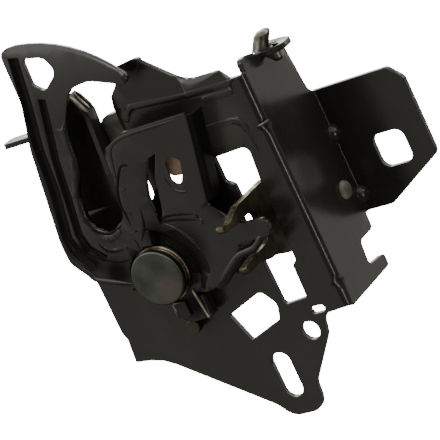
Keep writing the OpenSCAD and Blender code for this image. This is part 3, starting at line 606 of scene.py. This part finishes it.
# painted highlight: a pale zinc tick where the upper dart crosses the fold
tickLine = [(66.2, -0.1, 45.4), (67.2, -0.1, 45.6), (69.4, 0.3, 45.9), (70.7, 1.3, 46.2), (71.2, 2.4, 46.4)]
beads["foldTick"] = {"line": tickLine, "width": 1.3, "proud": 0.65, "body": "frame", **paintedHighlightZinc}
# ridges across the guide lip, in pale zinc as painted highlights: depth and width of each
lipLook = {
    "ridges": ((-0.6, 1.3), (-3.2, 1.5), (-6.4, 2.4)), "proud": 0.8, "foot": (-1.2, 73.8),
    "along": (-0.485, 0, 0.875), "out": (0.875, 0, 0.485), "steps": (0, 1.5, 5, 8.5, 10),
}
for i, (depth, width) in enumerate(lipLook["ridges"]):
    foot = Vector((lipLook["foot"][0], depth, lipLook["foot"][1]))
    run = [foot + Vector(lipLook["along"]) * step for step in lipLook["steps"]]
    beads["lipBead%d" % i] = {"line": run, "width": width, "proud": lipLook["proud"], "out": lipLook["out"],
                              "body": "frame", **paintedHighlightZinc}
for name, bead in beads.items():
    addBead(name, **bead)

# left shoulder of the dish, level with the lever's sheet: degrees and radii in mm round the catch pivot
shoulderLook = {"from": 77, "to": 101, "inner": 13.9, "outer": 21.8, "slope": 7, "cuts": 5}
bpy.ops.object.select_all(action="DESELECT")
bpy.ops.mesh.primitive_cube_add(size=2)
shoulder = bpy.context.active_object
shoulder.name = "dishShoulder"
bpy.ops.object.mode_set(mode="EDIT")
bpy.ops.mesh.select_all(action="SELECT")
bpy.ops.mesh.subdivide(number_cuts=shoulderLook["cuts"])
bpy.ops.object.mode_set(mode="OBJECT")
for v in shoulder.data.vertices:
    across, depth, along = (0.5 * (c + 1) for c in v.co)
    angle = shoulderLook["from"] + (shoulderLook["to"] - shoulderLook["from"]) * along
    turn = math.radians(angle - shoulderLook["slope"] * (1 - along) * depth)
    reach = shoulderLook["inner"] + (shoulderLook["outer"] - shoulderLook["inner"]) * across
    y = front + (catchLook["floor"] - front) * depth
    v.co = fromPivot((reach * math.cos(turn), y, reach * math.sin(turn)))
shoulder.data.materials.append(leverCoat)
bpy.ops.object.shade_smooth_by_angle(angle=crispAngle)
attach(shoulder, "catch")
print("beads pressed")

# pale floor, far below so that the latch floats clear of its shadow
floorLook = {"colour": "#f4f4f2", "roughness": 0.9, "drop": 0.35, "size": 1.2}
bpy.ops.object.select_all(action="DESELECT")
bpy.ops.mesh.primitive_plane_add(size=floorLook["size"], location=(0, 0, -floorLook["drop"]))
floor = bpy.context.active_object
floor.name = "studioFloor"
floorMat, _, floorShader, _ = startMaterial("matt studio paper")
floorShader.inputs["Base Color"].default_value = linear(floorLook["colour"])
floorShader.inputs["Roughness"].default_value = floorLook["roughness"]
floor.data.materials.append(floorMat)
floor.visible_glossy = False  # the gloss sees the tent instead

# white surround: the lens sees clean white, and the gloss sees a dimmer warm tent with dark corners;
# each fade has the two ends that it runs between and its light at each
studio = {
    "backdrop": 18.0, "tent": 0.48, "warm": "#fffbf1",
    "over": (-0.22, 0.3, 1.0, 2.4), "back": (0.1, 0.8, 1.0, 1.45), "under": (-0.7, -0.3, 0.2, 1.0),
    "rooms": [(0.25, -0.96, 0.05), (0.95, -0.12, -0.2), (-0.75, 0.4, -0.5)], "room": (0.74, 0.88, 1.0, 0.2),
}
world = bpy.data.worlds.new("white studio")
bpy.context.scene.world = world
world.use_nodes = True
sky = world.node_tree
sky.nodes.clear()
way = addNode(sky, "ShaderNodeTexCoord").outputs["Generated"]
parts = addNode(sky, "ShaderNodeSeparateXYZ", None, {"Vector": way}).outputs
fades = [(parts["Z"], studio["over"]), (parts["Y"], studio["back"]), (parts["Z"], studio["under"])]
for room in studio["rooms"]:
    facing = addNode(sky, "ShaderNodeVectorMath", {"operation": "DOT_PRODUCT"}, {0: way})
    facing.inputs[1].default_value = Vector(room).normalized()
    fades.append((facing.outputs["Value"], studio["room"]))
glow = addNode(sky, "ShaderNodeValue").outputs[0]
glow.default_value = studio["tent"]
for source, (start, end, low, high) in fades:
    fade = addNode(sky, "ShaderNodeMapRange",
                   {"From Min": start, "From Max": end, "To Min": low, "To Max": high,
                    "interpolation_type": "SMOOTHSTEP"}, {"Value": source})
    dimmed = addNode(sky, "ShaderNodeMath", {"operation": "MULTIPLY"}, {0: glow, 1: fade.outputs["Result"]})
    glow = dimmed.outputs[0]
tent = addNode(sky, "ShaderNodeBackground", {"Color": linear(studio["warm"])}, {"Strength": glow})
paper = addNode(sky, "ShaderNodeBackground", {"Color": (1, 1, 1, 1), "Strength": studio["backdrop"]})
rays = addNode(sky, "ShaderNodeLightPath")
both = addNode(sky, "ShaderNodeMixShader", None,
               {0: rays.outputs["Is Camera Ray"], 1: tent.outputs[0], 2: paper.outputs[0]})
addNode(sky, "ShaderNodeOutputWorld", None, {"Surface": both.outputs[0]})

# soft boxes, all aimed at the latch: place and size in metres, power in watts
aim = Vector((0, 0, 0.05))
softBoxes = {
    "keyBox": ((-0.6, -0.6, 0.8), (0.9, 0.9), 3),
    "rimBox": ((-0.12, -0.85, 0.5), (0.35, 0.2), 1.2),  # shines in the turned rims
    "foldBox": ((0.8, -0.52, -0.12), (0.1, 0.4), 1.1),  # a strip that draws the fold
    "lipBox": ((0.85, 0.1, 0.55), (0.16, 0.16), 1.5),  # draws the guide's rolled lip
    "topBox": ((-0.45, 0.65, 0.5), (0.5, 0.4), 2.3),  # shines in the top edges
}
for name, (place, size, power) in softBoxes.items():
    light = bpy.data.lights.new(name, "AREA")
    light.shape = "RECTANGLE"
    light.size, light.size_y = size
    light.energy = power
    lamp = bpy.data.objects.new(name, light)
    lamp.location = place
    lamp.rotation_euler = (aim - Vector(place)).to_track_quat("-Z", "Y").to_euler()
    bpy.context.scene.collection.objects.link(lamp)
print("studio lit")

# camera: long lens from the right and a little above, rolled as the latch is in the picture
shot = {"azimuth": 34.5, "elevation": 14.0, "roll": 25.4, "distance": 1.2, "sensorMm": 36, "mmPerPixel": 0.41,
        "picture": 440, "headPixel": (157.2, 279.0), "headDepth": -14.5}
az, el, roll = (math.radians(shot[k]) for k in ("azimuth", "elevation", "roll"))
towards = Vector((math.sin(az) * math.cos(el), -math.cos(az) * math.cos(el), math.sin(el)))
level = Vector((math.cos(az), math.sin(az), 0))
upright = Vector((-math.sin(az) * math.sin(el), math.cos(az) * math.sin(el), math.cos(el)))
right = level * math.cos(roll) - upright * math.sin(roll)
up = level * math.sin(roll) + upright * math.cos(roll)
offX, offY = (pixel - 0.5 * shot["picture"] for pixel in shot["headPixel"])  # rivet head from the middle
target = fromPivot((0, shot["headDepth"], 0)) - (right * offX - up * offY) * shot["mmPerPixel"] * mm
cameraData = bpy.data.cameras.new("photoCamera")
cameraData.sensor_width = shot["sensorMm"]
cameraData.lens = shot["sensorMm"] * shot["distance"] / (shot["picture"] * shot["mmPerPixel"] * mm)
camera = bpy.data.objects.new("photoCamera", cameraData)
spin = Matrix((right, up, towards)).transposed().to_4x4()
camera.matrix_world = Matrix.Translation(target + towards * shot["distance"]) @ spin
bpy.context.scene.collection.objects.link(camera)
bpy.context.scene.camera = camera
print("camera set, lens", round(cameraData.lens, 1))
